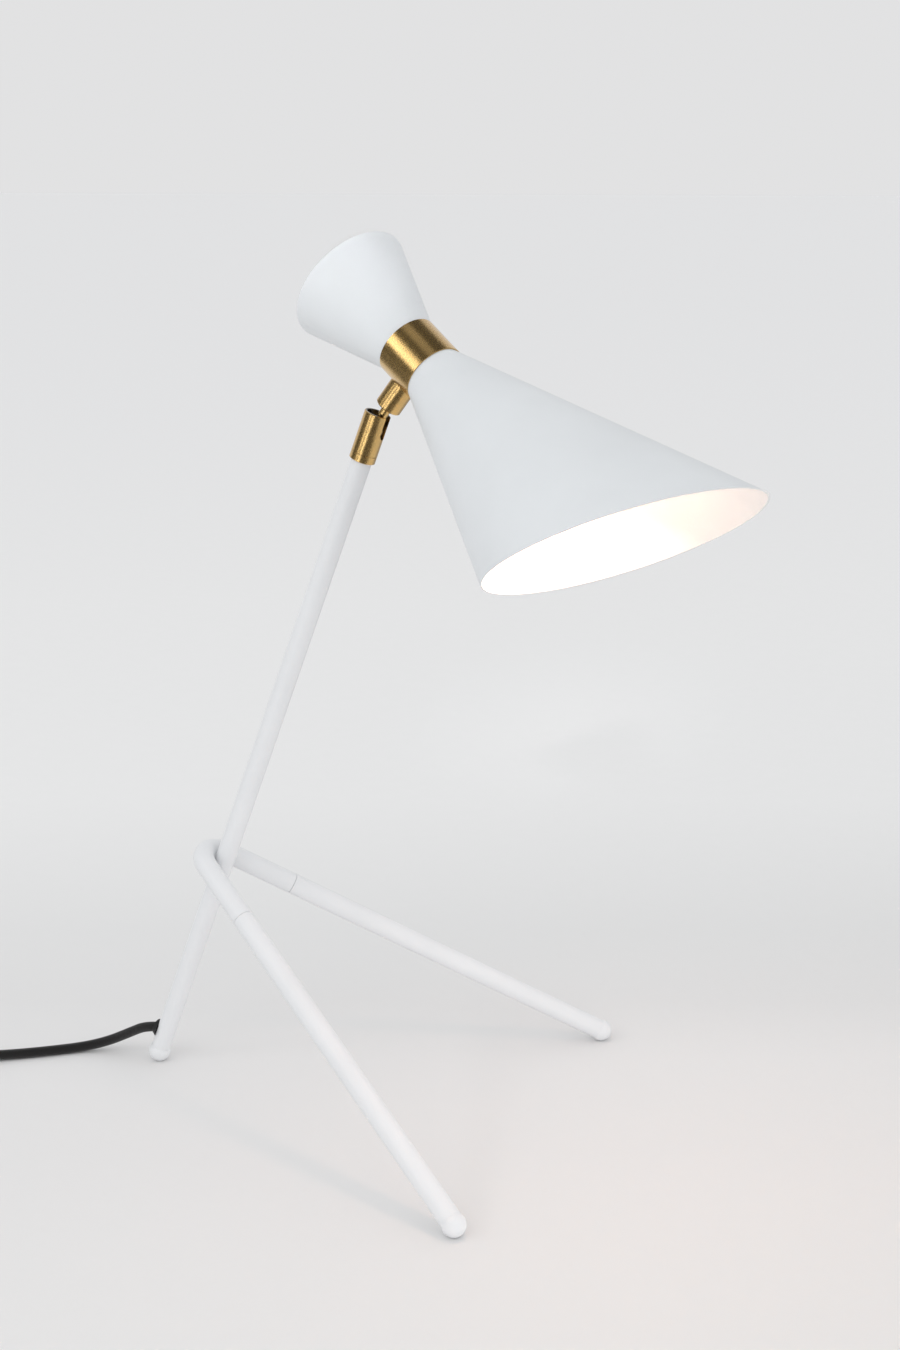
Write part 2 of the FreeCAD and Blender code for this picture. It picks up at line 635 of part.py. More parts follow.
def cone_corners(length, way):
    """Outline of a shade cone with its skirt; way is a minus sign for the rear cone."""
    return [
        (SKIRT, f"{way}({EDGE} - skirt_length)"),
        (SKIRT, f"{way}{EDGE}"),
        (f"{SKIRT} + {length} * {FLARE}", f"{way}({EDGE} + {length})"),
        (f"{SKIRT} + {length} * {FLARE} - {SLANT}", f"{way}({EDGE} + {length})"),
        (f"{SKIRT} - cone_wall", f"{way}({EDGE} + ({SLANT} - cone_wall) / {FLARE})"),
        (f"{SKIRT} - cone_wall", f"{way}({EDGE} - skirt_length)"),
    ]


rear_cone = turned("rear_cone", cone_corners("rear_length", "-"), shade_frame)
front_cone = turned("front_cone", cone_corners("(front_over + 10)", ""), shade_frame)
under = (f"({SKIRT} + front_under * {FLARE})", f"({EDGE} + front_under)")
over = (f"(-{SKIRT} - front_over * {FLARE})", f"({EDGE} + front_over)")
beyond_under = (f"1.4 * {under[0]} - 0.4 * {over[0]}", f"1.4 * {under[1]} - 0.4 * {over[1]}")
beyond_over = (f"1.4 * {over[0]} - 0.4 * {under[0]}", f"1.4 * {over[1]} - 0.4 * {under[1]}")
mouth_top = f"{over[1]} + front_over / 4"
pocketed(front_cone, outline_sketch(front_cone, "mouth", "XZ_Plane", [
    beyond_under,
    beyond_over,
    (beyond_over[0], mouth_top),
    (beyond_under[0], mouth_top),
]), symmetric=True)


def inside_cone(back):
    """Inner radius of the rear cone at a distance ahead of its rear edge, less the fit."""
    return f"({SKIRT} + (rear_length - {back}) * {FLARE} - {SLANT} - fit_gap)"


def rear_level(back):
    return f"-({EDGE} + rear_length - {back})"


rear_cap = turned("rear_cap", [
    ("0", rear_level("cap_recess")),
    (inside_cone("cap_recess"), rear_level("cap_recess")),
    (inside_cone("(cap_recess + cap_flange)"), rear_level("(cap_recess + cap_flange)")),
    (inside_cone("(cap_recess + cap_flange)") + " - cone_wall", rear_level("(cap_recess + cap_flange)")),
    (inside_cone("(cap_recess + cone_wall)") + " - cone_wall", rear_level("(cap_recess + cone_wall)")),
    ("0", rear_level("(cap_recess + cone_wall)")),
], shade_frame)

# Lamp holder and bulb, on the shade's axis.
bracket_front = "(collar_length / 2 - skirt_length - 0.2)"
bracket = padded("holder_bracket", [
    (f"-{bracket_front}", plate_foot),
    (bracket_front, plate_foot),
    (bracket_front, "ball_to_axis + holder_nut_d / 2 + 1"),
    (f"{bracket_front} - bracket_plate", "ball_to_axis + holder_nut_d / 2 + 1"),
    (f"{bracket_front} - bracket_plate", plate_top),
    (f"-{bracket_front}", plate_top),
], "bracket_width", head_frame, plane="XZ_Plane", symmetric=True)
pocketed(bracket, circle_sketch(bracket, "bracket_foot_hole", "XY_Plane",
                                [("0", "0", "boss_bore + 0.2")]), symmetric=True)
pocketed(bracket, circle_sketch(bracket, "bracket_axis_hole", "YZ_Plane",
                                [("0", "ball_to_axis", "boss_bore + 0.2")]), symmetric=True)

holder_shell = turned("holder_shell", [
    ("boss_bore / 2", bracket_front),
    ("holder_od / 2 - 1", bracket_front),
    ("holder_od / 2", f"{bracket_front} + 1"),
    ("holder_od / 2", f"{bracket_front} + holder_length"),
    ("holder_od / 2 - holder_wall", f"{bracket_front} + holder_length"),
    ("holder_od / 2 - holder_wall", f"{bracket_front} + holder_back"),
    ("boss_bore / 2", f"{bracket_front} + holder_back"),
], shade_frame)
nipple_end = f"({bracket_front} + holder_back + nut_height)"
holder_nipple = turned("holder_nipple", [
    ("pipe_bore / 2", f"{bracket_front} - bracket_plate - nut_height - 0.4"),
    ("boss_bore / 2 - fit_gap", f"{bracket_front} - bracket_plate - nut_height - 0.4"),
    ("boss_bore / 2 - fit_gap", nipple_end),
    ("pipe_bore / 2", nipple_end),
], shade_frame)
holder_nut = turned("holder_nut", [
    ("boss_bore / 2", f"{bracket_front} - bracket_plate - nut_height"),
    ("holder_nut_d / 2", f"{bracket_front} - bracket_plate - nut_height"),
    ("holder_nut_d / 2", f"{bracket_front} - bracket_plate"),
    ("boss_bore / 2", f"{bracket_front} - bracket_plate"),
], shade_frame)
core_foot = f"({nipple_end} + 0.2)"
core_top = f"({core_foot} + core_height)"
holder_core = turned("holder_core", [
    ("0", core_foot),
    ("holder_od / 2 - holder_wall - fit_gap", core_foot),
    ("holder_od / 2 - holder_wall - fit_gap", core_top),
    ("0", core_top),
], shade_frame)
holder_screw = turned("holder_screw", [
    ("screw_d / 2 + run_gap", core_top),
    ("screw_d / 2 + 2", core_top),
    ("screw_d / 2 + 2", f"{core_top} + 0.8"),
    ("screw_d / 2 + 0.7", f"{core_top} + 0.8"),
    ("screw_d / 2 + 0.7", f"{bracket_front} + holder_length - 1"),
    ("screw_d / 2 + run_gap", f"{bracket_front} + holder_length - 1"),
], shade_frame)
cap_foot = f"({core_top} + 0.2)"
cap_shoulder = f"({cap_foot} + 3.6)"
cap_rim = f"({cap_shoulder} + screw_length)"
bulb_cap = turned("bulb_cap", [
    ("0", cap_foot),
    ("screw_d / 6", cap_foot),
    ("screw_d / 6", f"{cap_foot} + 1.5"),
    ("screw_d / 2", cap_shoulder),
    ("screw_d / 2", cap_rim),
    ("screw_d / 2 - 0.5", cap_rim),
    ("screw_d / 2 - 0.5", f"{cap_shoulder} + 0.6"),
    ("0", f"{cap_shoulder} + 0.6"),
], shade_frame)


def globe(name, inset):
    """Globe and neck of the bulb, inset by a wall."""
    foot = moved(shade_frame, up=value(cap_rim))
    middle = moved(foot, up=value("bulb_neck"))
    ball = primitive("Sphere", name + "_ball", middle, Radius=f"bulb_d / 2 - {inset}")
    neck = primitive("Cone", name + "_neck", foot, Radius1=f"screw_d / 2 + 0.3 - {inset}",
                     Radius2=f"bulb_d * 0.40 - {inset}", Height="bulb_neck - bulb_d * 0.30")
    return fused(name, [ball, neck])


bulb_glass = cut("bulb_glass", globe("globe_outside", "0"), globe("globe_inside", "glass_wall"))


def in_head(across, up):
    return head_frame.multVec(Vector(across, 0, up))


lead_out = value(f"{plate_top} + nut_height")
axis_height = value("ball_to_axis")
head_lead = routed("head_lead", [
    in_head(0, value(f"{flange_top} + 0.1")),
    in_head(0, lead_out + 6.5),
    in_head(-13, lead_out + 4.5),
    in_head(-18, axis_height),
    in_head(value(nipple_end), axis_height),
], value("lead_d"))

# Cord to the switch: from the bushing down to the floor and out behind the lamp.
cord_diameter = value("cord_d")
switch_centre = Vector(-344.0, -77.5, 0)
switch_way = Vector(-0.8346, -0.5508, 0)
switch_way.normalize()
switch_turn = Rotation(UP, math.degrees(math.atan2(switch_way.y, switch_way.x)))
switch_frame = Placement(switch_centre, switch_turn)


def on_switch(along, height):
    """A point on the cord's line through the switch."""
    return switch_frame.multVec(Vector(along, 0, height))


cord_level = value("switch_split")
floor_level = value("cord_d / 2") + 0.05
switch_end = value("switch_length / 2 - switch_wall - 1")
lamp_points = [
    inner_end,
    moved(exit_frame, up=9).Base,
    Vector(-211.0, 0.0, 15.4),
    Vector(-226.0, -0.8, 7.4),
    Vector(-241.0, -6.8, floor_level),
    Vector(-257.0, -19.4, floor_level),
    Vector(-274.0, -31.4, floor_level),
    Vector(-293.0, -43.9, 3.8),
    on_switch(-37.5, cord_level),
    on_switch(-switch_end, cord_level),
]
cord_lamp = routed("cord_lamp", lamp_points, cord_diameter)

coil_level = value("coil_lift + cord_d / 2")
coil_points = [
    on_switch(switch_end, cord_level),
    on_switch(37.5, cord_level),
    on_switch(54, coil_level),
    on_switch(66, coil_level),
]
cord_switch = routed("cord_switch", coil_points, cord_diameter)


# Coil: two layers, spiralling in below and out again on top, climbing where the spiral turns round.
coil_inner = value("coil_inner")
coil_pitch = value("coil_pitch")
coil_sweep = 2 * math.pi * value("coil_turns")


def coil_spot(angle):
    """A point of the coil about its own centre, wound clockwise seen from above."""
    off_middle = angle - coil_sweep / 2
    radius = coil_inner + coil_pitch * math.hypot(off_middle, math.pi / 8) / (2 * math.pi)
    climb = min(max(off_middle / math.pi + 0.5, 0.0), 1.0)
    rise = coil_pitch * climb * climb * (3 - 2 * climb)
    return Vector(radius * math.cos(-angle), radius * math.sin(-angle), rise)


def coil_heading(angle):
    step = 1e-4
    heading = coil_spot(angle + step) - coil_spot(angle - step)
    heading.normalize()
    return heading


def biarc(start, start_way, end, end_way):
    """Two tangent arcs from one point and direction to another."""
    gap = end - start
    both = start_way + end_way
    straightness = 2 * (1 - start_way.dot(end_way))
    reach = (-gap.dot(both) + math.sqrt(gap.dot(both)**2 + straightness * gap.dot(gap))) / straightness
    first_corner = start + start_way * reach
    last_corner = end - end_way * reach
    joint = (first_corner + last_corner) * 0.5
    arcs = []
    for one, corner, two in ((start, first_corner, joint), (joint, last_corner, end)):
        middle = (one + two) * 0.5
        half_turn = (corner - one).getAngle(two - one)
        crown = middle + (corner - middle) * (math.cos(half_turn) / (1 + math.cos(half_turn)))
        arcs.append(Part.Arc(one, crown, two).toShape())
    return arcs


coil_start = coil_points[-1]
first_way = coil_heading(0)
swing = math.atan2(switch_way.y, switch_way.x) - math.atan2(first_way.y, first_way.x)
coil_turn = Rotation(UP, math.degrees(swing))
first_turn = coil_start + switch_way * cord_diameter
coil_frame = Placement(first_turn - coil_turn.multVec(coil_spot(0)), coil_turn)
quarters = round(4 * value("coil_turns"))
stations = [coil_sweep * step / quarters for step in range(quarters + 1)]
spots = [coil_frame.multVec(coil_spot(angle)) for angle in stations]
ways = [coil_turn.multVec(coil_heading(angle)) for angle in stations]
coil_end = spots[-1] + ways[-1] * cord_diameter
coil_edges = [Part.LineSegment(coil_start, spots[0]).toShape()]
for step in range(quarters):
    coil_edges += biarc(spots[step], ways[step], spots[step + 1], ways[step + 1])
coil_edges.append(Part.LineSegment(spots[-1], coil_end).toShape())
cord_coil = swept("cord_coil", coil_edges, cord_diameter)

samples = []
for edge in coil_edges:
    samples += edge.discretize(14)[:-1]
apart = [(one - other).Length for index, one in enumerate(samples) for other in samples[index + 40:]]
print(f"cord_coil: least gap between turns {min(apart) - cord_diameter:.2f}")

tie_place = coil_frame * Placement(Vector(), Rotation(UP, 60))
tie_slack = 0.1
tie_across = value("coil_inner - cord_d / 2") - 3 * tie_slack
tie_corner = moved(tie_place, tie_across, value("-tie_width / 2"), value("-cord_d / 2") - tie_slack)
tie_reach = f"(coil_pitch * coil_turns / 2 + cord_d + 14 * {tie_slack})"
tie_rise = f"(coil_pitch + cord_d + 2 * {tie_slack})"
tie_inside = primitive("Box", "tie_inside", tie_corner, Length=tie_reach, Width="tie_width", Height=tie_rise)
tie_band = value("tie_thick")
tie_outside = primitive("Box", "tie_outside", moved(tie_corner, -tie_band, 0, -tie_band),
                        Length=f"{tie_reach} + 2 * tie_thick", Width="tie_width",
                        Height=f"{tie_rise} + 2 * tie_thick")
coil_tie = cut("coil_tie", tie_outside, tie_inside)

# Plug beside the coil, lying on its flat side.
plug_level = value("plug_height / 2 + 0.05")
tail_way = Vector(ways[-1].x, ways[-1].y, 0)
tail_way.normalize()
tail_side = Vector(-tail_way.y, tail_way.x, 0)


def on_tail(along, aside, height):
    spot = coil_end + tail_way * along + tail_side * aside
    return Vector(spot.x, spot.y, height)


plug_way = on_tail(60, 12, 0) - on_tail(24, 2, 0)
plug_way.normalize()
tail_end = on_tail(24, 2, plug_level) + plug_way * (value("sleeve_length") + 8)
tail_points = [
    coil_end,
    on_tail(10, 0, coil_end.z),
    on_tail(24, 2, plug_level),
    tail_end,
]
cord_tail = routed("cord_tail", tail_points, cord_diameter)
plug_turn = Rotation(UP, math.degrees(math.atan2(plug_way.y, plug_way.x)))
plug_frame = Placement(tail_end - plug_way * value("sleeve_length"), plug_turn)
plug_sleeve = turned("plug_sleeve", [
    ("cord_d / 2 + run_gap", "0"),
    ("cord_d / 2 + 0.9", "0"),
    ("plug_height / 2 - 1.8", "sleeve_length"),
    ("cord_d / 2 + run_gap", "sleeve_length"),
], plug_frame * axis_turn)
plug_front = "(sleeve_length + plug_length)"
plug_full = padded("plug_full", [
    ("sleeve_length", "-plug_width / 5"),
    ("sleeve_length + plug_length / 4", "-plug_width / 3"),
    (f"{plug_front} - plug_length / 6", "-plug_width / 2"),
    (plug_front, "-plug_width / 2"),
    (plug_front, "plug_width / 2"),
    (f"{plug_front} - plug_length / 6", "plug_width / 2"),
    ("sleeve_length + plug_length / 4", "plug_width / 3"),
    ("sleeve_length", "plug_width / 5"),
], "plug_height", plug_frame, symmetric=True)
pins = []
pin_rooms = []
pin_root = 6
for word, side in (("near", -1), ("far", 1)):
    spot = moved(plug_frame, value(plug_front) - pin_root, side * value("pin_spacing") / 2) * axis_turn
    pins.append(primitive("Cylinder", f"{word}_pin", spot, Radius="pin_d / 2",
                          Height=f"pin_length + {pin_root}"))
    pin_rooms.append(primitive("Cylinder", f"{word}_pin_room", spot, Radius="pin_d / 2 + fit_gap",
                               Height=f"pin_length + {pin_root}"))
plug_body = cut("plug_body", plug_full, fused("pin_rooms", pin_rooms))
plug_pins = grouped("plug_pins", pins)


# Cord switch: base, cover with a window, and the rocker on its pin.
def switch_outline(inset):
    """A rectangle with cut corners, inset by a wall."""
    reach = f"(switch_length / 2 - {inset})"
    side = f"(switch_width / 2 - {inset})"
    corner = f"(switch_corner - {inset} / 2)"
    return [
        (f"-{reach} + {corner}", f"-{side}"),
        (f"{reach} - {corner}", f"-{side}"),
        (reach, f"-{side} + {corner}"),
        (reach, f"{side} - {corner}"),
        (f"{reach} - {corner}", side),
        (f"-{reach} + {corner}", side),
        (f"-{reach}", f"{side} - {corner}"),
        (f"-{reach}", f"-{side} + {corner}"),
    ]


cord_way_start = turned_to(on_switch(-value("switch_length"), cord_level), switch_way)
cord_way = primitive("Cylinder", "cord_way", cord_way_start, Radius="cord_d / 2 + run_gap",
                     Height="2 * switch_length")
base_full = padded("base_full", switch_outline("0"), "switch_split", moved(switch_frame, up=0.05))
base_room = padded("base_room", switch_outline("switch_wall"), "switch_split",
                   moved(switch_frame, up=value("switch_wall")))
switch_base = cut("switch_base", base_full, fused("base_rooms", [base_room, cord_way]))
cover_foot = value("switch_split") + 0.05
cover_full = padded("cover_full", switch_outline("0"), "switch_height - switch_split",
                    moved(switch_frame, up=cover_foot))
cover_room = padded("cover_room", switch_outline("switch_wall"), "switch_height - switch_split - switch_wall",
                    moved(switch_frame, up=cover_foot))
window_size = "(rocker_length / 2 + rocker_clear)"
window_side = "(rocker_width / 2 + rocker_clear)"
window = primitive("Box", "window", moved(switch_frame, -value(window_size), -value(window_side), cord_level),
                   Length=f"2 * {window_size}", Width=f"2 * {window_side}", Height="switch_height")
cover_open = cut("cover_open", cover_full, fused("cover_rooms", [cover_room, cord_way, window]))
pin_height = value("switch_height - rocker_drop")
pin_place = moved(switch_frame, up=pin_height)
rod_turn = Placement(Vector(), Rotation(UP, ASIDE))
pin_bore = primitive("Cylinder", "pin_bore", moved(pin_place, aside=-value("switch_width")) * rod_turn,
                     Radius="rocker_pin_d / 2 + run_gap", Height="2 * switch_width")
lugs = []
for word, side in (("near", -1), ("far", 1)):
    inner_face = value(window_side) + 0.2
    lug_side = inner_face if side > 0 else -inner_face - value("switch_wall")
    lug_corner = moved(pin_place, -value("rocker_pin_d"), lug_side, -value("rocker_pin_d"))
    lugs.append(primitive("Box", f"{word}_lug", lug_corner, Length="2 * rocker_pin_d", Width="switch_wall",
                          Height="rocker_pin_d + rocker_drop - switch_wall / 2"))
switch_cover = cut("switch_cover", fused("cover_lugged", [cover_open, *lugs]), pin_bore)
rocker_place = pin_place * Placement(Vector(), Rotation(ASIDE, value("rocker_tilt")))
rocker_plate = padded("rocker_plate", [
    ("-rocker_length / 3", "-rocker_drop * 0.8"),
    ("rocker_length / 3", "-rocker_drop * 0.8"),
    ("rocker_length / 2", "rocker_drop * 0.4"),
    ("rocker_length / 2", "rocker_drop + 0.3"),
    ("0", "rocker_drop - 0.4"),
    ("-rocker_length / 2", "rocker_drop + 0.3"),
    ("-rocker_length / 2", "rocker_drop * 0.4"),
], "rocker_width", rocker_place, plane="XZ_Plane", symmetric=True)
pin_half = f"({window_side} + 0.2 + switch_wall)"
rocker_pin = primitive("Cylinder", "rocker_pin", moved(pin_place, aside=-value(pin_half)) * rod_turn,
                       Radius="rocker_pin_d / 2", Height=f"2 * {pin_half}")
switch_rocker = fused("switch_rocker", [rocker_plate, rocker_pin])

# Every piece is written out under its own label, once it is sound.
pieces = [
    stem_tube, stem_ferrule, hairpin, weld_lug, arm_inserts, leg_studs, *leg_tubes.values(),
    rear_foot, *foot_caps.values(), cord_bushing, stem_lead, socket_ring, retaining_clip,
    socket_housing, ball_seat, disc_spring, swivel_ball, neck_stud, neck_lead,
    boss, spring_washer, boss_nipple, boss_nut, waist_collar, rear_cone, rear_cap, front_cone,
    bracket, holder_shell, holder_nipple, holder_nut, holder_core, holder_screw, bulb_cap, bulb_glass,
    head_lead,
    cord_lamp, cord_switch, cord_coil, coil_tie, cord_tail, plug_sleeve, plug_body, plug_pins,
    switch_base, switch_cover, switch_rocker,
]
doc.recompute()
for item in doc.Objects:
    if "Invalid" in item.State or "Error" in item.State:
        raise RuntimeError(f"{item.Label} did not build")
for piece in pieces:
    if piece.Shape.isNull() or not piece.Shape.isValid() or piece.Shape.Volume <= 0:
        raise RuntimeError(f"{piece.Label} is not a sound solid")
    piece.Shape.exportStep(f"parts/{piece.Label}.step")
print(f"{len(pieces)} pieces written")
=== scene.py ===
import math

import bpy
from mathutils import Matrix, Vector


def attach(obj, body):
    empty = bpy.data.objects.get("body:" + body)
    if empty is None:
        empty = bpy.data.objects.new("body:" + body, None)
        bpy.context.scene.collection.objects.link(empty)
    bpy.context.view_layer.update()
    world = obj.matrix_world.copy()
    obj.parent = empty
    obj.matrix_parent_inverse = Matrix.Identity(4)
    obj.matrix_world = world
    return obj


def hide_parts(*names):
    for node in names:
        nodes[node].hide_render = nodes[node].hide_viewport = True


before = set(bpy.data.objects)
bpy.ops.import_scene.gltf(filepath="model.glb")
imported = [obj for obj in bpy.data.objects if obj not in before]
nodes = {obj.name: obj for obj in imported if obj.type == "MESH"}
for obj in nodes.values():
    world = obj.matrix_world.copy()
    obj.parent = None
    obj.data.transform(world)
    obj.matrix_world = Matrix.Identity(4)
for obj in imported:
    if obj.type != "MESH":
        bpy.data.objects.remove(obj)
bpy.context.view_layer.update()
scene = bpy.context.scene
scene.view_settings.view_transform = "Standard"


# Camera: the photo's place, height and lens.
CAMERA_SPOT = (0.4038, -1.0045, 0.5464)
CAMERA_TILT = 75.73
CAMERA_TURN = 21.46
SENSOR_HEIGHT = 36.0
LENS = 52.21
CLIP_END = 200.0

camera = bpy.data.objects.new("camera", bpy.data.cameras.new("camera"))
scene.collection.objects.link(camera)
scene.camera = camera
camera.location = CAMERA_SPOT
camera.rotation_euler = (math.radians(CAMERA_TILT), 0.0, math.radians(CAMERA_TURN))
camera.data.sensor_fit = "VERTICAL"
camera.data.sensor_height = SENSOR_HEIGHT
camera.data.lens = LENS
camera.data.clip_end = CLIP_END


# Node helpers.
def add(tree, kind, inputs=(), **settings):
    """A node with its settings, and inputs given as sockets to link or values to set."""
    item = tree.nodes.new(kind)
    for key, setting in settings.items():
        setattr(item, key, setting)
    for key, source in dict(inputs).items():
        if isinstance(source, bpy.types.NodeSocket):
            tree.links.new(source, item.inputs[key])
        else:
            item.inputs[key].default_value = source
    return item


def start(name, **constants):
    """A new material, with constants set on its shader."""
    material = bpy.data.materials.new(name)
    material.use_nodes = True
    shader = material.node_tree.nodes["Principled BSDF"]
    for key, amount in constants.items():
        shader.inputs[key.replace("_", " ")].default_value = amount
    return material, material.node_tree, shader


def place(tree, output="Object"):
    """Where a point of the surface is, in the object's frame or on its sheet."""
    return add(tree, "ShaderNodeTexCoord").outputs[output]


def noise(tree, spot, scale, detail=2.0, roughness=0.5):
    inputs = {"Vector": spot, "Scale": scale, "Detail": detail, "Roughness": roughness}
    return add(tree, "ShaderNodeTexNoise", inputs).outputs["Fac"]


def spread(tree, source, low, high, start_at=0.3, end_at=0.7):
    """A source that runs from start_at to end_at, brought to low to high."""
    inputs = {"Value": source, "From Min": start_at, "From Max": end_at, "To Min": low, "To Max": high}
    return add(tree, "ShaderNodeMapRange", inputs).outputs["Result"]


def math_node(tree, operation, first, second=0.0):
    return add(tree, "ShaderNodeMath", {0: first, 1: second}, operation=operation).outputs[0]


def vector_node(tree, operation, first, second=(0.0, 0.0, 0.0)):
    return add(tree, "ShaderNodeVectorMath", {0: first, 1: second}, operation=operation)


def length_of(tree, vector):
    return vector_node(tree, "LENGTH", vector).outputs["Value"]


def blend(tree, amount, first, second):
    """A mix of two colours, each a tuple or a socket."""
    inputs = {0: amount, 6: (*first, 1.0) if isinstance(first, tuple) else first,
              7: (*second, 1.0) if isinstance(second, tuple) else second}
    return add(tree, "ShaderNodeMix", inputs, data_type="RGBA").outputs[2]


def raised(tree, shader, height, strength, distance):
    """Relief on the surface."""
    bump = add(tree, "ShaderNodeBump", {"Height": height, "Strength": strength, "Distance": distance})
    tree.links.new(bump.outputs["Normal"], shader.inputs["Normal"])


def feed(tree, shader, key, source):
    tree.links.new(source, shader.inputs[key])


def wear(*names, material):
    """Gives CAD nodes a material."""
    for name in names:
        slots = nodes[name].data.materials
        slots.clear()
        slots.append(material)


# Materials.
def powder_coat(name, colour):
    """Matt white powder coat: a fine peel in the surface and a slight cloudiness."""
    material, tree, shader = start(name, Specular_IOR_Level=0.4)
    spot = place(tree)
    cloud = noise(tree, spot, scale=22.0, detail=3.0)
    grain = noise(tree, spot, scale=900.0)
    shade = tuple(0.965 * channel for channel in colour)
    peel = math_node(tree, "ADD", grain, math_node(tree, "MULTIPLY", cloud, 0.6))
    feed(tree, shader, "Base Color", blend(tree, spread(tree, cloud, 0.0, 1.0), shade, colour))
    feed(tree, shader, "Roughness", spread(tree, grain, 0.40, 0.52))
    raised(tree, shader, peel, strength=0.10, distance=0.0006)
    return material


BRASS_DEEP = (0.67, 0.425, 0.147)
BRASS_LIGHT = (0.87, 0.575, 0.21)
BRASS_PATINA = (0.52, 0.335, 0.12)
# Painted shade inside the swivel housing's bore: the brass takes this dark tone deeper in than the first distance
# under the outer radius, and is left as it is beyond the second.
BRASS_BORE_SHADE = (0.05, 0.033, 0.014)
BORE_FULL_SHADE = 0.0007
BORE_UNSHADED = 0.0002


def satin_brass(name, bore=None):
    """Turned brass with a blasted satin grain, a little mottled, and painted shade inside a bore."""
    material, tree, shader = start(name, Metallic=1.0, Coat_Weight=0.6, Coat_Roughness=0.22)
    spot = place(tree)
    grain = noise(tree, spot, scale=6500.0, roughness=0.6)
    mottle = noise(tree, spot, scale=1900.0, detail=3.0, roughness=0.6)
    patina = noise(tree, spot, scale=60.0)
    tone = blend(tree, spread(tree, mottle, 0.0, 1.0), BRASS_DEEP, BRASS_LIGHT)
    tone = blend(tree, spread(tree, patina, 0.0, 0.35), tone, BRASS_PATINA)
    # Painted shade: the brass inside the bore is darkened.
    if bore:
        foot, axis, radius = bore
        out = vector_node(tree, "SUBTRACT", spot, foot).outputs["Vector"]
        across = length_of(tree, vector_node(tree, "CROSS_PRODUCT", out, axis).outputs["Vector"])
        outside = spread(tree, across, 0.0, 1.0, radius - BORE_FULL_SHADE, radius - BORE_UNSHADED)
        tone = blend(tree, outside, BRASS_BORE_SHADE, tone)
    feed(tree, shader, "Base Color", tone)
    feed(tree, shader, "Roughness", spread(tree, mottle, 0.20, 0.31))
    raised(tree, shader, grain, strength=0.10, distance=0.0002)
    return material


def bright_metal(name, colour, rough):
    """Plated hardware with fine turning marks."""
    material, tree, shader = start(name, Metallic=1.0)
    spot = place(tree)
    marks = noise(tree, spot, scale=1500.0)
    dull = noise(tree, spot, scale=180.0, detail=3.0)
    darker = tuple(0.8 * channel for channel in colour)
    feed(tree, shader, "Base Color", blend(tree, spread(tree, dull, 0.0, 1.0), darker, colour))
    feed(tree, shader, "Roughness", spread(tree, dull, *rough))
    raised(tree, shader, marks, strength=0.15, distance=0.0002)
    return material


def moulded(name, colour, rough, grain_scale, relief):
    """Moulded plastic or ceramic with a fine grain."""
    material, tree, shader = start(name, Specular_IOR_Level=0.5)
    spot = place(tree)
    grain = noise(tree, spot, scale=grain_scale, detail=3.0, roughness=0.6)
    cloud = noise(tree, spot, scale=90.0)
    lighter = tuple(min(1.0, 1.25 * channel + 0.004) for channel in colour)
    feed(tree, shader, "Base Color", blend(tree, spread(tree, cloud, 0.0, 1.0), colour, lighter))
    feed(tree, shader, "Roughness", spread(tree, grain, *rough))
    raised(tree, shader, grain, strength=relief, distance=0.0003)
    return material


BRAID_ALONG = 1500.0
BRAID_AROUND = 12
BRAID_DARK = (0.004, 0.004, 0.004)
BRAID_LIGHT = (0.022, 0.020, 0.020)


def braid(name):
    """Black woven cord cover: two sets of strands that cross on a slant round the cord."""
    material, tree, shader = start(name, Specular_IOR_Level=0.35, Sheen_Weight=0.25, Sheen_Roughness=0.4)
    sheet = add(tree, "ShaderNodeSeparateXYZ", {0: place(tree, "UV")})
    along = math_node(tree, "MULTIPLY", sheet.outputs[0], BRAID_ALONG * 2 * math.pi)
    around = math_node(tree, "MULTIPLY", sheet.outputs[1], BRAID_AROUND * 2 * math.pi)
    one = math_node(tree, "SINE", math_node(tree, "ADD", along, around))
    other = math_node(tree, "SINE", math_node(tree, "SUBTRACT", along, around))
    fuzz = noise(tree, place(tree), scale=2200.0, detail=3.0, roughness=0.7)
    strands = spread(tree, math_node(tree, "MAXIMUM", one, other), 0.0, 1.0, -0.2, 1.0)
    weave = math_node(tree, "ADD", strands, math_node(tree, "MULTIPLY", fuzz, 0.35))
    feed(tree, shader, "Base Color", blend(tree, strands, BRAID_DARK, BRAID_LIGHT))
    feed(tree, shader, "Roughness", spread(tree, fuzz, 0.55, 0.85))
    raised(tree, shader, weave, strength=0.7, distance=0.0004)
    return material


BAND_DARK = (0.006, 0.006, 0.007)
BAND_LIGHT = (0.03, 0.03, 0.032)


def hook_band(name):
    """Black hook-and-loop band: rows of tiny loops on a woven ground."""
    material, tree, shader = start(name, Specular_IOR_Level=0.3, Sheen_Weight=0.3, Sheen_Roughness=0.5)
    spot = place(tree)
    cells = add(tree, "ShaderNodeTexVoronoi", {"Vector": spot, "Scale": 1500.0}).outputs["Distance"]
    fuzz = noise(tree, spot, scale=2600.0, detail=3.0, roughness=0.7)
    loops = math_node(tree, "ADD", cells, math_node(tree, "MULTIPLY", fuzz, 0.5))
    feed(tree, shader, "Base Color", blend(tree, spread(tree, loops, 0.0, 1.0), BAND_DARK, BAND_LIGHT))
    feed(tree, shader, "Roughness", spread(tree, fuzz, 0.7, 0.95))
    raised(tree, shader, loops, strength=0.6, distance=0.0004)
    return material


def lit_glass(name, colour, hazy, glow, strength):
    """Opal bulb glass with the lamp switched on."""
    material, tree, shader = start(name, Roughness=0.25)
    haze = noise(tree, place(tree), scale=60.0)
    feed(tree, shader, "Base Color", blend(tree, spread(tree, haze, 0.0, 1.0), colour, hazy))
    shader.inputs["Emission Color"].default_value = (*glow, 1.0)
    shader.inputs["Emission Strength"].default_value = strength
    return material


# The swivel housing's bore, which gets painted shade: a point on its axis, the axis and the housing's outer radius.
HOUSING_BORE = ((-0.04437, 0.0, 0.3920), (0.35347, 0.0, 0.93544), 0.0076)

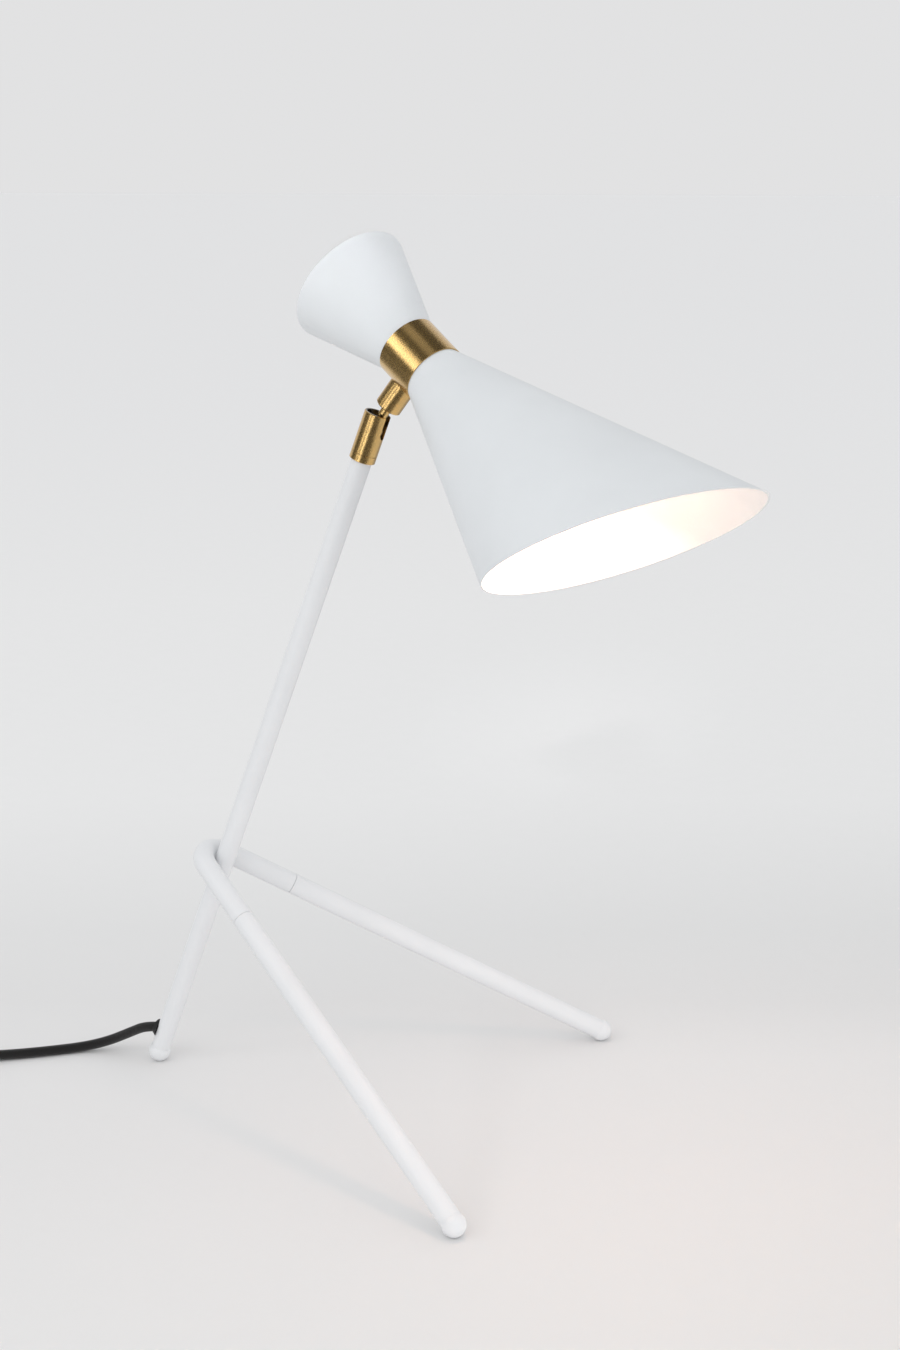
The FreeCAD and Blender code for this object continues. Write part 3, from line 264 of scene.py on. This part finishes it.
white_frame = powder_coat("white_frame_coat", (0.80, 0.81, 0.825))
# Painted shade: the lampshade's coat is the frame's white made a little darker and bluer.
white_shade = powder_coat("white_shade_coat", (0.765, 0.79, 0.81))
brass = satin_brass("satin_brass")
socket_brass = satin_brass("socket_brass", HOUSING_BORE)
zinc = bright_metal("zinc_plate", (0.62, 0.63, 0.64), rough=(0.25, 0.42))
nickel = bright_metal("nickel_plate", (0.70, 0.68, 0.62), rough=(0.16, 0.30))
black_plastic = moulded("black_plastic", (0.014, 0.014, 0.015), rough=(0.38, 0.55), grain_scale=1100.0, relief=0.22)
rocker_black = moulded("rocker_black", (0.022, 0.022, 0.024), rough=(0.22, 0.34), grain_scale=700.0, relief=0.06)
seat_nylon = moulded("seat_nylon", (0.70, 0.69, 0.64), rough=(0.35, 0.50), grain_scale=500.0, relief=0.06)
holder_white = moulded("holder_white", (0.70, 0.70, 0.68), rough=(0.35, 0.48), grain_scale=800.0, relief=0.08)
holder_ceramic = moulded("holder_ceramic", (0.74, 0.73, 0.70), rough=(0.55, 0.75), grain_scale=1400.0, relief=0.18)
lead_grey = moulded("lead_grey", (0.33, 0.33, 0.34), rough=(0.45, 0.60), grain_scale=900.0, relief=0.10)
cord_cloth = braid("cord_cloth")
tie_cloth = hook_band("tie_cloth")
bulb = lit_glass("opal_bulb", (0.96, 0.94, 0.90), hazy=(0.9, 0.88, 0.84), glow=(1.0, 0.535, 0.28), strength=10.3)

wear("stem_tube", "hairpin", "weld_lug", "near_leg_tube", "far_leg_tube", "rear_foot", "near_foot", "far_foot",
     material=white_frame)
wear("rear_cone", "rear_cap", "front_cone", material=white_shade)
wear("socket_ring", "swivel_ball", "neck_stud", "boss", "waist_collar", material=brass)
wear("socket_housing", material=socket_brass)
wear("stem_ferrule", "arm_inserts", "leg_studs", "retaining_clip", "disc_spring", "spring_washer", "boss_nipple",
     "boss_nut", "holder_bracket", "holder_nipple", "holder_nut", material=zinc)
wear("holder_screw", "plug_pins", "bulb_cap", material=nickel)
wear("cord_bushing", "plug_sleeve", "plug_body", "switch_base", "switch_cover", material=black_plastic)
wear("switch_rocker", material=rocker_black)
wear("ball_seat", material=seat_nylon)
wear("holder_shell", material=holder_white)
wear("holder_core", material=holder_ceramic)
wear("stem_lead", "neck_lead", "head_lead", material=lead_grey)
wear("bulb_glass", material=bulb)


def shown(name, data, material):
    """A new object of the scene with one material."""
    data.materials.append(material)
    item = bpy.data.objects.new(name, data)
    scene.collection.objects.link(item)
    return item


def mesh_of(name, points, faces):
    mesh = bpy.data.meshes.new(name)
    mesh.from_pydata(points, [], faces)
    return mesh


# Cord: bushing, floor, switch, two-layer coil and plug on one curve.
CORD_D = 0.0062
COIL_INNER = 0.0252
COIL_PITCH = 0.00665
COIL_TURNS = 6.51
COIL_STEPS = 16
# How softly the turns go from winding in to winding out, as an angle.
COIL_EASE = math.pi / 8
# The curve's radius in the coil as a share of its control points' radius.
CURVE_REACH = 0.981
coil_centre = Vector((-0.43094, -0.07876, 0.00385))
coil_swing = math.radians(-55.283)
coil_sweep = 2 * math.pi * COIL_TURNS
cord_exit = (-0.18847, 0.0, 0.02277)

route = [
    cord_exit,
    (-0.19933, 0.0, 0.02162),
    (-0.21100, 0.0, 0.01540),
    (-0.22600, -0.00080, 0.00740),
    (-0.24100, -0.00680, 0.00315),
    (-0.25700, -0.01940, 0.00315),
    (-0.27400, -0.03140, 0.00315),
    (-0.29300, -0.04390, 0.00380),
    (-0.31270, -0.05684, 0.00800),
    (-0.32197, -0.06296, 0.00800),
    (-0.36603, -0.09204, 0.00800),
    (-0.37530, -0.09816, 0.00800),
    (-0.38907, -0.10724, 0.00385),
    (-0.39909, -0.11385, 0.00385),
]
steps = int(COIL_TURNS * COIL_STEPS)
for step in range(steps + 1):
    angle = coil_sweep * step / steps
    off_middle = angle - coil_sweep / 2
    radius = COIL_INNER + COIL_PITCH * math.hypot(off_middle, COIL_EASE) / (2 * math.pi)
    climb = min(max(off_middle / math.pi + 0.5, 0.0), 1.0)
    turn = coil_swing - angle
    height = COIL_PITCH * climb * climb * (3 - 2 * climb)
    reach = radius / CURVE_REACH
    route.append(tuple(coil_centre + Vector((reach * math.cos(turn), reach * math.sin(turn), height))))
route += [
    (-0.44148, -0.02997, 0.01050),
    (-0.43073, -0.02078, 0.00705),
    (-0.41063, 0.00150, 0.00705),
]

curve = bpy.data.curves.new("cord", "CURVE")
curve.dimensions = "3D"
spline = curve.splines.new("NURBS")
spline.points.add(len(route) - 1)
for point, spot in zip(spline.points, route):
    point.co = (*spot, 1.0)
spline.order_u = 3
spline.use_endpoint_u = True
curve.resolution_u = 8
curve.bevel_depth = CORD_D / 2
curve.bevel_resolution = 5
curve.use_fill_caps = True
cord = shown("cord", curve, cord_cloth)
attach(cord, "base")
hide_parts("cord_lamp", "cord_switch", "cord_coil", "cord_tail")


# Coil tie: a strap wound once round the coil, its rounded end lapped over on top.
STRAP_WIDE = 0.009
STRAP_THICK = 0.0006
STRAP_CORNER = 0.003
STRAP_LAP = 0.00065
STRAP_EDGE = 0.00018
STRAP_BOX = {"near": 0.0218, "far": 0.0458, "low": 0.00065, "high": 0.0137}
STRAP_ENDS = (0.028, 0.0415)
STRAP_TURN = math.radians(4.717)
TIP_SWEEP = 88.0
CORNER_STEPS = 8
SECTION_SIDES = 8


def strap_line():
    """Places and outward directions along the strap in its upright plane, with its half width there."""
    half = STRAP_WIDE / 2
    middle = STRAP_THICK / 2
    top = STRAP_BOX["high"] + middle
    line = [(STRAP_ENDS[0], top, 90.0, half)]
    corners = [("far", "high", 90.0), ("far", "low", 0.0), ("near", "low", -90.0), ("near", "high", -180.0)]
    for side, level, first in corners:
        across = STRAP_BOX[side] + (STRAP_CORNER if side == "near" else -STRAP_CORNER)
        height = STRAP_BOX[level] + (STRAP_CORNER if level == "low" else -STRAP_CORNER)
        last = (side, level) == ("near", "high")
        for step in range(CORNER_STEPS + 1):
            angle = first - 90.0 * step / CORNER_STEPS
            lap = STRAP_LAP * step / CORNER_STEPS if last else 0.0
            reach = STRAP_CORNER + middle + lap
            line.append((across + reach * math.cos(math.radians(angle)),
                         height + reach * math.sin(math.radians(angle)), angle, half))
    for step in range(CORNER_STEPS + 1):
        bow = math.radians(TIP_SWEEP * step / CORNER_STEPS)
        line.append((STRAP_ENDS[1] - half + half * math.sin(bow), top + STRAP_LAP, 90.0, half * math.cos(bow)))
    return line


strap_points = []
for across, height, angle, half in strap_line():
    outward = Vector((math.cos(math.radians(angle)), 0.0, math.sin(math.radians(angle))))
    thick = STRAP_THICK / 2
    edge = min(STRAP_EDGE, half / 2)
    section = [(-half, edge - thick), (edge - half, -thick), (half - edge, -thick), (half, edge - thick),
               (half, thick - edge), (half - edge, thick), (edge - half, thick), (-half, thick - edge)]
    for aside, out in section:
        local = Vector((across, aside, height)) + outward * out
        strap_points.append((coil_centre.x + local.x * math.cos(STRAP_TURN) - local.y * math.sin(STRAP_TURN),
                             coil_centre.y + local.x * math.sin(STRAP_TURN) + local.y * math.cos(STRAP_TURN),
                             local.z))
strap_faces = []
rings = len(strap_points) // SECTION_SIDES
for ring in range(rings - 1):
    for side in range(SECTION_SIDES):
        one = ring * SECTION_SIDES + side
        two = ring * SECTION_SIDES + (side + 1) % SECTION_SIDES
        strap_faces.append((one, two, two + SECTION_SIDES, one + SECTION_SIDES))
strap_faces.append(tuple(reversed(range(SECTION_SIDES))))
strap_faces.append(tuple((rings - 1) * SECTION_SIDES + side for side in range(SECTION_SIDES)))
strap = shown("tie_strap", mesh_of("tie_strap", strap_points, strap_faces), tie_cloth)
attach(strap, "base")
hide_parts("coil_tie")


# Stage: one pale floor whose tone changes a little with depth: painted light and shade standing in for a curved
# paper sweep, darker in a band where the sweep would bend.
FLOOR_HALF = 60.0
FLOOR_FAR = (0.87, 0.87, 0.875)
FLOOR_FLECK = (0.72, 0.72, 0.72)
FLOOR_FADE = (3.0, 8.0)
# The way into the depth of the room, the front's distance from the lamp, and the nearest depth told apart.
INWARD = (-0.366, 0.931, 0.0)
FRONT = 1.083
NEAREST = 0.5
DEPTH_SCALE = 0.78
# Painted light and shade: the floor's tone at each place along the depth ramp.
FLOOR_TONES = [
    (0.00, (0.87, 0.87, 0.875)),
    (0.157, (0.88, 0.88, 0.885)),
    (0.306, (0.89, 0.89, 0.89)),
    (0.461, (0.87, 0.87, 0.87)),
    (0.568, (0.79, 0.79, 0.79)),
    (0.627, (0.78, 0.775, 0.775)),
    (0.677, (0.81, 0.805, 0.805)),
    (0.757, (0.80, 0.795, 0.795)),
    (0.910, (0.80, 0.80, 0.80)),
]


def floor_paper(name):
    """Matt paper with a faint fleck, painted light and shade by depth, and even far away."""
    material, tree, shader = start(name, Roughness=0.9, Specular_IOR_Level=0.1)
    spot = place(tree)
    depth = vector_node(tree, "DOT_PRODUCT", spot, INWARD).outputs["Value"]
    ahead = math_node(tree, "MAXIMUM", math_node(tree, "ADD", depth, FRONT), NEAREST)
    ramp = add(tree, "ShaderNodeValToRGB", {0: math_node(tree, "DIVIDE", DEPTH_SCALE, ahead)})
    stops = ramp.color_ramp.elements
    while len(stops) < len(FLOOR_TONES):
        stops.new(0.5)
    for stop, (position, tone) in zip(stops, FLOOR_TONES):
        stop.position = position
        stop.color = (*tone, 1.0)
    fibre = noise(tree, spot, scale=60.0, detail=4.0)
    flecked = blend(tree, spread(tree, fibre, 0.0, 0.04), ramp.outputs["Color"], FLOOR_FLECK)
    away = spread(tree, length_of(tree, spot), 0.0, 1.0, *FLOOR_FADE)
    feed(tree, shader, "Base Color", blend(tree, away, flecked, FLOOR_FAR))
    return material


floor_corners = [(x * FLOOR_HALF, y * FLOOR_HALF, 0.0) for x, y in [(-1, -1), (1, -1), (1, 1), (-1, 1)]]
floor = shown("floor", mesh_of("floor", floor_corners, [(0, 1, 2, 3)]), floor_paper("floor_paper"))


# Light: an even pale room, soft boxes that light the paint, and windows that show in the brass.
world = bpy.data.worlds.new("room")
scene.world = world
world.use_nodes = True
room = world.node_tree
room.nodes.clear()
path = add(room, "ShaderNodeLightPath")
seen = math_node(room, "MAXIMUM", path.outputs["Is Camera Ray"], path.outputs["Is Glossy Ray"])
seen = math_node(room, "MAXIMUM", seen, path.outputs["Is Transmission Ray"])
backdrop = add(room, "ShaderNodeBackground", {"Color": (0.76, 0.76, 0.765, 1.0), "Strength": 1.0})
daylight = add(room, "ShaderNodeBackground", {"Color": (0.99, 0.995, 1.0, 1.0), "Strength": 0.88})
mixed = add(room, "ShaderNodeMixShader", {0: seen, 1: daylight.outputs[0], 2: backdrop.outputs[0]})
add(room, "ShaderNodeOutputWorld", {"Surface": mixed.outputs[0]})

off_floor = bpy.data.collections.new("off_floor")
off_floor.objects.link(floor)
off_floor.collection_objects[0].light_linking.link_state = "EXCLUDE"
on_shade = bpy.data.collections.new("on_shade")
on_shade.objects.link(nodes["front_cone"])


def area_lamp(name, spot, target, size, power, colour=(1.0, 1.0, 1.0), beam=180.0):
    """An area lamp of a width and height that looks at a target, and that no camera sees."""
    lamp = bpy.data.lights.new(name, "AREA")
    lamp.shape = "RECTANGLE"
    lamp.size, lamp.size_y = size
    lamp.energy = power
    lamp.color = colour
    lamp.spread = math.radians(beam)
    item = bpy.data.objects.new(name, lamp)
    scene.collection.objects.link(item)
    item.location = spot
    item.rotation_euler = (Vector(target) - Vector(spot)).to_track_quat("-Z", "Y").to_euler()
    item.visible_camera = False
    return item


def soft_box(name, spot, target, size, power, receivers=None, **settings):
    """A lamp that lights surfaces and doesn't show in reflections, on all pieces or on the receivers."""
    item = area_lamp(name, spot, target, size, power, **settings)
    item.visible_glossy = False
    if receivers:
        item.light_linking.receiver_collection = receivers
    return item


HEAD = (-0.02, 0.0, 0.44)


def window(name, spot, size, power):
    """A lamp that looks at the lamp's head and shows only in reflections."""
    area_lamp(name, spot, HEAD, size, power).visible_diffuse = False


soft_box("left_box", (-1.05, -0.96, 1.06), (-0.01, 0.0, 0.45), (0.40, 0.18), 1.6)
soft_box("low_box", (-0.44, -1.41, 0.18), (-0.03, 0.0, 0.43), (0.26, 0.18), 0.9, off_floor)
soft_box("front_box", (-0.35, -1.50, 1.35), (0.0, 0.0, 0.30), (0.9, 0.9), 2.1)
soft_box("right_box", (1.50, -0.90, 0.45), (0.0, 0.0, 0.20), (0.6, 0.6), 1.4, off_floor)
soft_box("rear_box", (0.10, -1.20, 1.25), (-0.078, 0.03, 0.508), (0.06, 0.06), 0.0098, beam=9.0)
soft_box("side_box", (0.62, -0.30, 0.022), (-0.05, 0.0, 0.03), (0.30, 0.03), 0.085, off_floor, beam=60.0)

# The lamp's own light on the floor, and the light that comes back into the shade's mouth; both move with the head.
lamp_light = soft_box("lamp_light", (0.0886, -0.0415, 0.3762), (-0.008, -0.04, 0.0), (0.036, 0.036), 0.105,
                      colour=(1.0, 0.66, 0.53))
mouth_box = soft_box("mouth_box", (0.3364, -0.1476, 0.1910), (0.1091, -0.0503, 0.3609), (0.10, 0.10), 0.18, on_shade,
                     colour=(1.0, 0.92, 0.80))
lamp_light.parent = nodes["bulb_glass"]
mouth_box.parent = nodes["bulb_glass"]

window("window_top", (-1.00, -0.83, 1.12), (0.36, 0.75), 2.7)
window("window_middle", (-0.81, -1.22, 0.42), (0.26, 0.24), 0.8)
window("window_low", (-0.34, -1.38, 0.11), (0.50, 0.14), 1.05)
window("roof", (-0.10, -0.23, 1.60), (0.45, 0.45), 0.19)


# Dark room: cloth round the stage that only reflections show, open behind the lamp and low on its left.
ROOM_RADIUS = 3.0
ROOM_FOOT = 0.01
ROOM_TOP = 88.0
ROOM_ROUND = 32
ROOM_RISES = 8
LEFTWARD = (-0.996, 0.087)
# Each opening: the cosine from its direction where it ends, and its rows of panels.
OPEN_BEHIND = (0.80, 5)
OPEN_LEFT = (0.60, 2)
LEFT_FRONT_END = -0.05
CLOTH_DARK = 0.11
CLOTH_DIM = 0.34
CLOTH_HEIGHT = 0.0008
OVER_CLOTH = 0.0012


def dark_cloth(name, tone):
    """Matt cloth with broad folds."""
    material, tree, shader = start(name, Roughness=1.0, Specular_IOR_Level=0.0)
    folds = noise(tree, place(tree), scale=3.0)
    feed(tree, shader, "Base Color", blend(tree, folds, (tone,) * 3, (1.4 * tone,) * 3))
    return material


def hang(name, points, faces, material):
    item = shown(name, mesh_of(name, points, faces), material)
    item.visible_camera = False
    item.visible_diffuse = False
    item.visible_transmission = False
    item.visible_volume_scatter = False
    item.visible_shadow = False


def lay(name, corners, height, material):
    hang(name, [(x, y, height) for x, y in corners], [(0, 1, 2, 3)], material)


def left_open(swing, rise):
    """Whether a panel of the dark room is left out."""
    east, north = math.cos(swing), math.sin(swing)
    behind = INWARD[0] * east + INWARD[1] * north
    left = LEFTWARD[0] * east + LEFTWARD[1] * north
    if behind > OPEN_BEHIND[0] and rise < OPEN_BEHIND[1]:
        return True
    return left > OPEN_LEFT[0] and north > LEFT_FRONT_END and rise < OPEN_LEFT[1]


cloth = dark_cloth("dark_cloth", CLOTH_DARK)
shell = []
for rise in range(ROOM_RISES + 1):
    lift = math.radians(ROOM_TOP * rise / ROOM_RISES)
    for turn in range(ROOM_ROUND):
        swing = 2 * math.pi * turn / ROOM_ROUND
        out = ROOM_RADIUS * math.cos(lift)
        shell.append((out * math.cos(swing), out * math.sin(swing), ROOM_FOOT + ROOM_RADIUS * math.sin(lift)))
shell_faces = []
for rise in range(ROOM_RISES):
    for turn in range(ROOM_ROUND):
        if left_open(2 * math.pi * (turn + 0.5) / ROOM_ROUND, rise):
            continue
        low = rise * ROOM_ROUND
        following = (turn + 1) % ROOM_ROUND
        shell_faces.append((low + turn, low + following, low + ROOM_ROUND + following, low + ROOM_ROUND + turn))
hang("dark_room", shell, shell_faces, cloth)
lay("dark_front", [(-1.9, -1.1), (1.4, 0.2), (2.5, -2.6), (-0.9, -3.9)], CLOTH_HEIGHT, cloth)
lay("dark_side", [(-1.02, -0.54), (-2.65, -1.41), (-2.78, 1.12), (-1.07, 0.43)], OVER_CLOTH, cloth)
lay("dim_back", [(-0.171, 0.47), (0.287, 0.41), (1.03, 1.47), (-0.616, 1.69)], CLOTH_HEIGHT,
    dark_cloth("dim_cloth", CLOTH_DIM))
